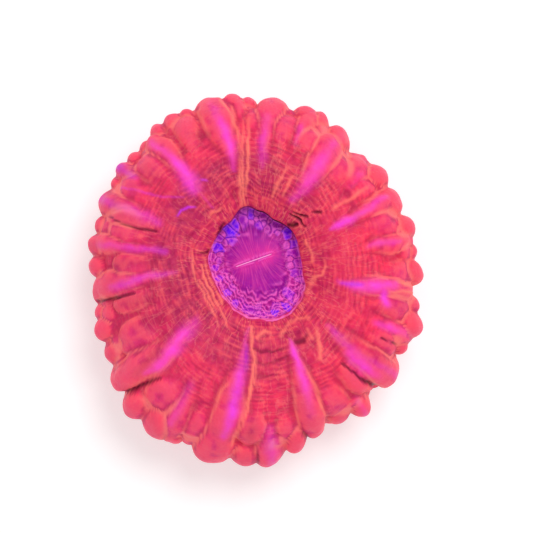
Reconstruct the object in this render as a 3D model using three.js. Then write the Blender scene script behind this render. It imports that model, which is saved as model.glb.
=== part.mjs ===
// Cynarina coral: one inflated polyp on its ribbed stony foot, cut off flat where it grew on rock.
// Millimetres, +Z up. The origin is the centre of the flat cut. -Y is the side nearest the viewer.
// Angles are degrees counter-clockwise from +X, about the middle of the oral disc.
import * as THREE from "three";

// Driving dimensions
const discCentreY = 2.6;
const discHalfWidth = 12.3;
const discHalfLength = 15.3;
const mouthHeight = 25.2;
const gutterHeight = 23.2;
const lipHeight = 31.2;
const crownHeight = 34;
const rimHeight = 19.5;
const hemHeight = 4.6;
const seatHeight = 8.6;
const seatRadius = 23.5;
const lipFacing = 85; // the lip overhangs the disc on this side and slopes to it on the other
const slopingRise = 1.4;
const slitTurn = 19.5;
const slitHalfLength = 5.4;
const slitHalfWidth = 2.2;
const slitDepth = 0.9;

// Fineness of the faceted skin
const columns = 120;
const lobedRowsPerSpan = 2; // one row a span elsewhere

// Stony foot
const footGap = 0.3;
const footTopRadius = 20.2; // less than the seat's, which is centred under the disc
const footBaseRadius = 18.6;
const footNeckRadius = 17.8;
const costae = 24;
const costaHeight = 0.55;
const samplesPerCosta = 4;

// How far the skin reaches at the rim between its bulbs: [angle, radius]
const rimReach = [
  [0, 40.4],
  [30, 38.9],
  [50, 37.6],
  [70, 41.0],
  [90, 42.0],
  [115, 43.2],
  [145, 42.4],
  [170, 42.2],
  [190, 41.6],
  [210, 43.8],
  [228, 49.0],
  [245, 50.4],
  [270, 50.8],
  [288, 46.0],
  [305, 46.2],
  [325, 44.0],
  [343, 42.6],
];

// Long lobes on the crown: inner end [angle, radius], tip [angle, radius], half width and height at the tip
const lobes = [
  { from: [8, 24], to: [8, 41], width: 2.6, height: 2.4 },
  { from: [24.5, 20], to: [25.5, 42], width: 3.4, height: 3.2 },
  { from: [42, 26], to: [44, 41], width: 4.6, height: 3 },
  { from: [58, 18], to: [57, 38], width: 4, height: 3.4 },
  { from: [71, 28], to: [70, 44], width: 3.4, height: 3 },
  { from: [86.5, 24], to: [84.5, 45], width: 3.6, height: 3.4 },
  { from: [96, 36], to: [98.5, 46], width: 2.9, height: 3 },
  { from: [102.5, 24], to: [107.5, 45.5], width: 4.6, height: 3.6 },
  { from: [128.5, 25], to: [131, 43], width: 3.3, height: 3.2 },
  { from: [145, 39], to: [145, 46], width: 2.5, height: 2.6 },
  { from: [157.5, 26], to: [157, 45.4], width: 4, height: 3.4 },
  { from: [173, 26], to: [173.5, 45.6], width: 3.2, height: 2.8 },
  { from: [188, 21], to: [189.5, 44.5], width: 3.7, height: 3.2 },
  { from: [203.5, 38], to: [203.5, 47], width: 3, height: 2.6 },
  { from: [211.5, 38], to: [211.5, 47.3], width: 3, height: 2.6 },
  { from: [225, 21], to: [220.5, 48.1], width: 4.6, height: 4.2 },
  { from: [242.5, 33], to: [242, 52], width: 4.4, height: 3 },
  { from: [262.5, 20], to: [256.5, 52.5], width: 4.6, height: 4.2 },
  { from: [274.5, 42], to: [274.5, 54.2], width: 4, height: 3.4 },
  { from: [293, 20], to: [289, 47.2], width: 3.6, height: 3.6 },
  { from: [306, 42], to: [306, 50.2], width: 3.4, height: 2.6 },
  { from: [318, 22], to: [320.5, 48], width: 4.4, height: 4.2 },
  { from: [334, 32], to: [336, 45.5], width: 3.8, height: 3 },
  { from: [346.5, 20], to: [350, 41], width: 2.8, height: 2.6 },
];

// Bulbs along the rim: [angle, radius reached, half width in degrees]
const rimBulbs = [
  [6, 43.4, 3], [13, 43.4, 4], [25, 42.2, 5], [37.5, 42.6, 5], [45, 41, 3], [57.5, 42.9, 5],
  [66, 44, 4], [72, 44.5, 4.5], [84, 45.2, 4.5], [93, 45, 2.5], [98.5, 46.4, 4], [108, 45.8, 5],
  [115.5, 46.1, 2.5], [122, 46.4, 3], [127, 46.1, 3], [133.5, 44.9, 2.5], [139.5, 44.8, 2.5],
  [145, 46.1, 3], [150, 45, 2.5], [157, 45.3, 4], [166, 44.8, 3.5], [173.5, 45.7, 4],
  [181, 45.4, 3.5], [189.5, 44.5, 4], [197, 45, 3.5], [203.5, 47.3, 4], [211.5, 47.4, 3.5],
  [220, 48.1, 4], [229, 53.3, 5], [238, 54.3, 5], [245, 53.2, 3.5], [256, 52.5, 5],
  [266.5, 54.5, 5], [274, 54.4, 4.5], [282.5, 51.7, 4], [289, 47.3, 4], [298.5, 48.5, 4],
  [306, 50.4, 4], [320, 48.1, 4.5], [330, 46.4, 3], [338, 47.7, 4], [345, 45, 3.5],
  [358, 44.9, 4],
];

// Bulbs of the tiers under the rim, evenly spread: [how many, distance below the rim, radius]
const skirtTiers = [
  [40, 7, 3.9],
  [34, 14, 3.6],
];
const skirtSwell = 0.55;
const domePower = 0.7; // 0.5 would be round, with sides too steep for facets of this size

const degree = Math.PI / 180;

function turnBetween(a, b) {
  return ((((a - b + 180) % 360) + 360) % 360) - 180;
}

function smooth(share) {
  const held = THREE.MathUtils.clamp(share, 0, 1);
  return held * held * (3 - 2 * held);
}

function rimRadius(angle) {
  for (let i = 0; i < rimReach.length; i += 1) {
    const [start, radius] = rimReach[i];
    const [end, nextRadius] = rimReach[(i + 1) % rimReach.length];
    const span = (end - start + 360) % 360;
    const along = (angle - start + 360) % 360;
    if (along < span) {
      return THREE.MathUtils.lerp(radius, nextRadius, smooth(along / span));
    }
  }
  return rimReach[0][1];
}

function discRadius(angle) {
  const across = Math.cos(angle * degree) / discHalfWidth;
  const along = Math.sin(angle * degree) / discHalfLength;
  return 1 / Math.hypot(across, along);
}

// The skin's section at one angle, as radius (x) and height (y), from the mouth round to the seat's centre
function sectionAt(angle) {
  const disc = discRadius(angle);
  const width = rimRadius(angle) - disc;
  const lean = smooth(0.75 + Math.cos((angle - lipFacing) * degree));
  const gutter = gutterHeight + slopingRise * (1 - lean);
  const climb = crownHeight - lipHeight;
  const spots = [
    [0, mouthHeight],
    [disc * 0.4, mouthHeight],
    [disc * 0.8, THREE.MathUtils.lerp(mouthHeight, gutterHeight, 0.6)],
    [disc * 0.98, gutter],
    [disc * (1.02 + 0.05 * lean), gutter + 1.6],
    [disc * (1.06 - 0.07 * lean), gutterHeight + 4.6],
    [disc + width * 0.04, lipHeight - 1.4],
    [disc + width * 0.11, lipHeight],
    [disc + width * 0.24, lipHeight + climb * 0.72],
    [disc + width * 0.42, crownHeight],
    [disc + width * 0.6, crownHeight - 0.6],
    [disc + width * 0.77, crownHeight - 2.4],
    [disc + width * 0.89, crownHeight - 5.4],
    [disc + width * 0.97, rimHeight + 4.6],
    [disc + width, rimHeight],
    [disc + width * 0.97, hemHeight + 7],
    [disc + width * 0.86, hemHeight + 1.8],
    [disc + width * 0.7, hemHeight + 0.2],
    [disc + width * 0.55, hemHeight + 1.6],
    [seatRadius + 1.5, seatHeight - 0.4],
    [seatRadius, seatHeight],
    [seatRadius * 0.5, seatHeight],
    [0, seatHeight],
  ];
  return new THREE.SplineCurve(spots.map(([radius, height]) => new THREE.Vector2(radius, height)));
}

const sectionSpans = 22;
const firstLobedSpot = 4;
const firstSwellingSpot = 6;
const rimSpot = 14;
const lastSwellingSpot = 17;
const flatSpot = 20;

// Where the rows of the skin lie, counted in spots of the section
function rowSpots() {
  const spots = [];
  for (let spot = 0; spot < sectionSpans; spot += 1) {
    const lobed = spot >= firstLobedSpot && spot < lastSwellingSpot;
    const rows = lobed ? lobedRowsPerSpan : 1;
    for (let i = 0; i < rows; i += 1) {
      spots.push(spot + i / rows);
    }
  }
  return [...spots, sectionSpans];
}

// Points of one section with the outward normal and the distance along it from the lip
function columnAt(angle) {
  const curve = sectionAt(angle);
  const spots = [];
  let length = 0;
  for (const spot of rowSpots()) {
    const share = spot / sectionSpans;
    const at = curve.getPoint(share);
    const ahead = curve.getPoint(Math.min(1, share + 0.002));
    const behind = curve.getPoint(Math.max(0, share - 0.002));
    const tangent = ahead.sub(behind).normalize();
    const last = spots.at(-1);
    if (last && spot > firstSwellingSpot) {
      length += at.distanceTo(last.at);
    }
    spots.push({ at, normal: new THREE.Vector2(-tangent.y, tangent.x), length, spot });
  }
  return spots;
}

// Distance along a section at which its upper side is at the given radius
function lengthAtRadius(column, radius) {
  const upper = column.filter(({ spot }) => spot >= firstSwellingSpot && spot <= rimSpot);
  for (let i = 1; i < upper.length; i += 1) {
    const [near, far] = [upper[i - 1], upper[i]];
    if (far.at.x >= radius) {
      const share = (radius - near.at.x) / Math.max(1e-6, far.at.x - near.at.x);
      return THREE.MathUtils.lerp(near.length, far.length, THREE.MathUtils.clamp(share, 0, 1));
    }
  }
  return upper.at(-1).length;
}

function dome(across, along) {
  return Math.max(0, 1 - across * across - along * along) ** domePower;
}

function lobeSwell(lobe, angle, column, here) {
  const [fromAngle, fromRadius] = lobe.from;
  const [toAngle, toRadius] = lobe.to;
  const start = lengthAtRadius(column, fromRadius);
  const end = lengthAtRadius(column, toRadius - lobe.width * 0.5);
  const share = (here.length - start) / Math.max(1, end - start);
  if (share <= 0) {
    return 0;
  }
  const centre = THREE.MathUtils.lerp(fromAngle, toAngle, Math.min(1, share));
  const width = lobe.width * (0.35 + 0.65 * smooth(share / 0.7));
  const height = lobe.height * smooth(share / 0.65);
  const across = (turnBetween(angle, centre) * degree * here.at.x) / width;
  const past = Math.max(0, here.length - end) / (lobe.width * 1.4);
  return height * dome(across, past);
}

function bulbSwell(middle, half, swell, level, angle, here) {
  const across = (turnBetween(angle, middle) * degree * here.at.x) / half;
  const along = (here.length - level) / half;
  return swell * dome(across, along);
}

function swellAt(angle, column, here) {
  if (here.spot < firstSwellingSpot || here.spot > lastSwellingSpot) {
    return 0;
  }
  const rimLength = column.find(({ spot }) => spot === rimSpot).length;
  let swell = 0;
  for (const lobe of lobes) {
    swell = Math.max(swell, lobeSwell(lobe, angle, column, here));
  }
  for (const [middle, reach, halfTurn] of rimBulbs) {
    const half = halfTurn * degree * reach;
    swell = Math.max(swell, bulbSwell(middle, half, reach - rimRadius(middle), rimLength, angle, here));
  }
  skirtTiers.forEach(([count, drop, half], tier) => {
    for (let i = 0; i < count; i += 1) {
      const middle = ((i + tier / 2) * 360) / count;
      swell = Math.max(swell, bulbSwell(middle, half, half * skirtSwell, rimLength + drop, angle, here));
    }
  });
  return swell;
}

function slitAt(x, y) {
  const along = x * Math.cos(slitTurn * degree) + y * Math.sin(slitTurn * degree);
  const across = y * Math.cos(slitTurn * degree) - x * Math.sin(slitTurn * degree);
  return slitDepth * dome(across / slitHalfWidth, along / slitHalfLength);
}

// A closed skin from rings of points: rings[row][column], with one point at each end
function closedSkin(top, rings, bottom) {
  const around = rings[0].length;
  const positions = [top, ...rings.flat(), bottom].flatMap((point) => point.toArray());
  const lastIndex = rings.length * around + 1;
  const at = (row, column) => 1 + row * around + (column % around);
  const faces = [];
  for (let column = 0; column < around; column += 1) {
    faces.push(0, at(0, column), at(0, column + 1));
    for (let row = 0; row < rings.length - 1; row += 1) {
      const [a, b] = [at(row, column), at(row, column + 1)];
      const [c, d] = [at(row + 1, column), at(row + 1, column + 1)];
      faces.push(a, c, d, a, d, b);
    }
    faces.push(at(rings.length - 1, column), lastIndex, at(rings.length - 1, column + 1));
  }
  const geometry = new THREE.BufferGeometry();
  geometry.setAttribute("position", new THREE.Float32BufferAttribute(positions, 3));
  geometry.setIndex(faces);
  geometry.computeVertexNormals();
  return geometry;
}

function polypGeometry() {
  const angles = Array.from({ length: columns }, (_, i) => (i * 360) / columns);
  const sections = angles.map(columnAt);
  const rings = [];
  for (let row = 1; row < sections[0].length - 1; row += 1) {
    rings.push(
      angles.map((angle, i) => {
        const here = sections[i][row];
        const swell = swellAt(angle, sections[i], here);
        const radius = here.at.x + here.normal.x * swell;
        const x = radius * Math.cos(angle * degree);
        const y = radius * Math.sin(angle * degree);
        const slit = here.spot < firstSwellingSpot ? slitAt(x, y) : 0;
        const flat = here.spot >= flatSpot;
        const z = flat ? seatHeight : here.at.y + here.normal.y * swell - slit;
        return new THREE.Vector3(x, discCentreY + y, z);
      }),
    );
  }
  const top = new THREE.Vector3(0, discCentreY, mouthHeight - slitDepth);
  return closedSkin(top, rings, new THREE.Vector3(0, discCentreY, seatHeight));
}

function footGeometry() {
  const topHeight = seatHeight - footGap;
  const section = [
    [footTopRadius, topHeight],
    [footTopRadius - 0.7, topHeight * 0.75],
    [footNeckRadius + 0.5, topHeight * 0.4],
    [footNeckRadius, topHeight * 0.18],
    [footBaseRadius, 0],
  ];
  const around = costae * samplesPerCosta;
  const rings = section.map(([radius, height]) =>
    Array.from({ length: around }, (_, i) => {
      const angle = (i * Math.PI * 2) / around;
      const edge = height === 0 || height === topHeight ? 0.5 : 1;
      const rib = radius + edge * costaHeight * Math.cos(angle * costae);
      return new THREE.Vector3(rib * Math.cos(angle), rib * Math.sin(angle), height);
    }),
  );
  return closedSkin(new THREE.Vector3(0, 0, topHeight), rings, new THREE.Vector3(0, 0, 0));
}

const coral = new THREE.Group();

const flesh = new THREE.MeshStandardMaterial({ color: 0xea4a70, roughness: 0.42, metalness: 0 });
const polyp = new THREE.Mesh(polypGeometry(), flesh);
polyp.name = "polyp";
coral.add(polyp);

const limestone = new THREE.MeshStandardMaterial({ color: 0xd9cdbb, roughness: 0.9, metalness: 0 });
const stonyFoot = new THREE.Mesh(footGeometry(), limestone);
stonyFoot.name = "stony_foot";
coral.add(stonyFoot);

export default coral;
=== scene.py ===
# Cynarina coral on a pale table, seen from almost straight above
import math
from types import SimpleNamespace

import bpy
import numpy as np
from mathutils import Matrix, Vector


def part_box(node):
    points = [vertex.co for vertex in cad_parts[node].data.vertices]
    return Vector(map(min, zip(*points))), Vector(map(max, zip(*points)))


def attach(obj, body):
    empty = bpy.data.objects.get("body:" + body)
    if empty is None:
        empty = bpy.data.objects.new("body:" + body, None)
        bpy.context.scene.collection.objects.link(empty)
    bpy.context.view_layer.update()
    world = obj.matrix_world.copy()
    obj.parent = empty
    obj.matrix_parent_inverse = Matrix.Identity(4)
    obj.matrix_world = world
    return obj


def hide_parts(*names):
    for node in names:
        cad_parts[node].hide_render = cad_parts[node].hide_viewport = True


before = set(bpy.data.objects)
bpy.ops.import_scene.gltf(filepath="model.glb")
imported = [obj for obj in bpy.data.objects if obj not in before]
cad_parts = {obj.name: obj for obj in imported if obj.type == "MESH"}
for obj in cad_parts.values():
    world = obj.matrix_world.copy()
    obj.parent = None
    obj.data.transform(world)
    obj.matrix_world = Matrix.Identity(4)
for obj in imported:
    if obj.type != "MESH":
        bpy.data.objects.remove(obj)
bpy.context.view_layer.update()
print("frame loaded")

mm = 0.001
degree = math.pi / 180
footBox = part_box("stony_foot")


# Colour and node helpers

def linearColour(hexColour):
    parts = [int(hexColour[i:i + 2], 16) / 255 for i in (1, 3, 5)]
    return tuple(c / 12.92 if c <= 0.04045 else ((c + 0.055) / 1.055) ** 2.4 for c in parts) + (1.0,)


# kind is the node's type without its ShaderNode, settings are its properties and input values by name or
# number, and links are outputs to join to its inputs, where in0 is the first one.
# In a Mix node of colours, inputs 6 and 7 are the two colours and output 2 is the mixed one.
def addNode(tree, kind, settings=None, **links):
    node = tree.nodes.new("ShaderNode" + kind)
    for name, value in (settings or {}).items():
        if isinstance(name, int) or name in node.inputs:
            node.inputs[name].default_value = value
        else:
            setattr(node, name, value)
    for name, output in links.items():
        key = int(name[2:]) if name.startswith("in") and name[2:].isdigit() else name.replace("_", " ")
        tree.links.new(output, node.inputs[key])
    return node


# Noise patterns for a material: each is (coordinates, stretch, size in mm, detail, low, high) and runs
# from 0 at low to 1 at high. One that ends in "Lines" shows where the noise crosses its middle.
def addPatterns(tree, coordinates, table):
    outputs = {}
    for name, (along, stretch, sizeMm, detail, low, high) in table.items():
        place = addNode(tree, "Mapping", {"Scale": stretch}, Vector=coordinates[along])
        grain = {"Scale": 1 / (sizeMm * mm), "Detail": detail}
        noise = addNode(tree, "TexNoise", grain, Vector=place.outputs[0]).outputs["Fac"]
        if name.endswith("Lines"):
            offset = addNode(tree, "Math", {"operation": "SUBTRACT", 1: 0.5}, in0=noise)
            noise = addNode(tree, "Math", {"operation": "ABSOLUTE"}, in0=offset.outputs[0])
            noise = noise.outputs[0]
        span = {"From Min": low, "From Max": high}
        outputs[name] = addNode(tree, "MapRange", span, in0=noise).outputs[0]
    return outputs


def startMaterial(name):
    material = bpy.data.materials.new(name)
    material.use_nodes = True
    material.node_tree.nodes.clear()
    return material, material.node_tree


# Lays colours over a base, which is a hex colour or a node's output, one after another:
# each is (what it follows, how much of it shows, colour), and two words mean where both are
def layColours(tree, sources, base, layers):
    colour = base
    for names, strength, hexColour in layers:
        first, *others = names.split()
        share = sources[first]
        for name in others:
            both = addNode(tree, "Math", {"operation": "MULTIPLY"}, in0=share, in1=sources[name])
            share = both.outputs[0]
        weaker = {"operation": "MULTIPLY", "use_clamp": True, 1: strength}
        share = addNode(tree, "Math", weaker, in0=share).outputs[0]
        over = addNode(tree, "Mix", {"data_type": "RGBA", 7: linearColour(hexColour)}, in0=share)
        if isinstance(colour, str):
            over.inputs[6].default_value = linearColour(colour)
        else:
            tree.links.new(colour, over.inputs[6])
        colour = over.outputs[2]
    return colour


def placeInScene(name, data):
    thing = bpy.data.objects.new(name, data)
    bpy.context.scene.collection.objects.link(thing)
    return thing


# Small mathematics for grown shapes

def turnBetween(a, b):
    return (a - b + 180) % 360 - 180


def smooth(share):
    held = np.clip(share, 0, 1)
    return held * held * (3 - 2 * held)


def window(value, low, high, soft):
    return smooth((value - low) / soft + 0.5) * smooth((high - value) / soft + 0.5)


def bell(value, halfWidth):
    return np.exp(-((value / halfWidth) ** 2))


# Smooth radius at any angle or angles from a few given (angle, radius) points
def roundTheCompass(points, angles):
    points = np.array(points, float)
    index = np.searchsorted(points[:, 0], angles % 360, side="right") - 1
    start, end = points[index, 0], points[(index + 1) % len(points), 0]
    share = smooth(((angles - start) % 360) / ((end - start) % 360))
    return points[index, 1] * (1 - share) + points[(index + 1) % len(points), 1] * share


# Smooth value noise from -1 to 1 at points in mm, with lumps of this size. The large numbers only
# scramble a cell's place into a value that is the same in every run.
def lumps(where, size, seed):
    place = where / size + seed * 7.31
    cell = np.floor(place).astype(np.int64)
    share = smooth(place - cell)
    total = np.zeros(where.shape[:-1])
    for corner in range(8):
        step = np.array([corner & 1, corner >> 1 & 1, corner >> 2 & 1])
        key = (cell + step) @ np.array([73856093, 19349663, 83492791]) + seed * 2654435761
        key = (key ^ (key >> 13)) * 1274126177 & 0xFFFFFFFF
        key = (key ^ (key >> 16)) & 0xFFFF
        weight = np.where(step, share, 1 - share).prod(axis=-1)
        total += weight * (key / 32767.5 - 1)
    return total


# Catmull-Rom through spots[column, spot, xy], at these places counted in spots
def splineAt(spots, places):
    last = spots.shape[1] - 1
    first = np.clip(np.floor(places).astype(int), 0, last - 1)
    t = (places - first)[:, None, None]
    p0, p1, p2, p3 = (spots[:, np.clip(first + k, 0, last)].transpose(1, 0, 2) for k in (-1, 0, 1, 2))
    v0, v1 = (p2 - p0) / 2, (p3 - p1) / 2
    point = (2 * p1 - 2 * p2 + v0 + v1) * t**3 + (-3 * p1 + 3 * p2 - 2 * v0 - v1) * t**2 + v0 * t + p1
    slope = 3 * (2 * p1 - 2 * p2 + v0 + v1) * t**2 + 2 * (-3 * p1 + 3 * p2 - 2 * v0 - v1) * t + v0
    return point, slope


# Averages a grid of values with its neighbours, round the compass and along the section
def softened(values, times):
    for _ in range(times):
        values = (np.roll(values, 1, axis=1) + 2 * values + np.roll(values, -1, axis=1)) / 4
        values[1:-1] = (values[:-2] + 2 * values[1:-1] + values[2:]) / 4
    return values


# How strongly a soft stroke shows at each point: its chain is (angle, radius, half width, strength)
def strokeOver(x, y, chain, widthShare=1.0):
    angle, radius, halfWidth, strength = np.array(chain, float).T
    px, py = radius * np.cos(angle * degree), radius * np.sin(angle * degree)
    shows = np.zeros_like(x)
    for i in range(len(chain) - 1):
        dx, dy = px[i + 1] - px[i], py[i + 1] - py[i]
        share = np.clip(((x - px[i]) * dx + (y - py[i]) * dy) / (dx * dx + dy * dy), 0, 1)
        away = np.hypot(x - px[i] - share * dx, y - py[i] - share * dy)
        width = widthShare * (halfWidth[i] + (halfWidth[i + 1] - halfWidth[i]) * share)
        here = strength[i] + (strength[i + 1] - strength[i]) * share
        shows = np.maximum(shows, here * bell(away, width))
    return shows


# A mesh from rings[row, column, xyz] in mm, closed by one point at each end
def closedSkin(name, top, rings, bottom):
    rows, around = rings.shape[:2]
    points = np.concatenate([[top], rings.reshape(-1, 3), [bottom]]) * mm
    index = 1 + np.arange(rows * around).reshape(rows, around)
    creaseHighlight = np.roll(index, -1, axis=1)
    quads = np.stack([index[:-1], index[1:], creaseHighlight[1:], creaseHighlight[:-1]], axis=-1).reshape(-1, 4)
    lastIndex = rows * around + 1
    ends = [(0, a, b) for a, b in zip(index[0].tolist(), creaseHighlight[0].tolist())]
    ends += [(a, lastIndex, b) for a, b in zip(index[-1].tolist(), creaseHighlight[-1].tolist())]
    mesh = bpy.data.meshes.new(name)
    mesh.from_pydata(points.tolist(), [], quads.tolist() + ends)
    mesh.shade_smooth()
    return placeInScene(name, mesh)


# Stores a value for each point of a closedSkin, for the material to read
def keepOnPoints(piece, name, rings, topValue=0.0):
    values = np.concatenate([[topValue], rings.reshape(-1), [0]]).astype(np.float32)
    piece.data.attributes.new(name, "FLOAT", "POINT").data.foreach_set("value", values)


# The polyp: one continuous skin from the mouth over the lip, crown and rim to the seat on the foot.
# Angles are counter-clockwise from +X about the disc's middle, sizes are mm.

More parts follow.
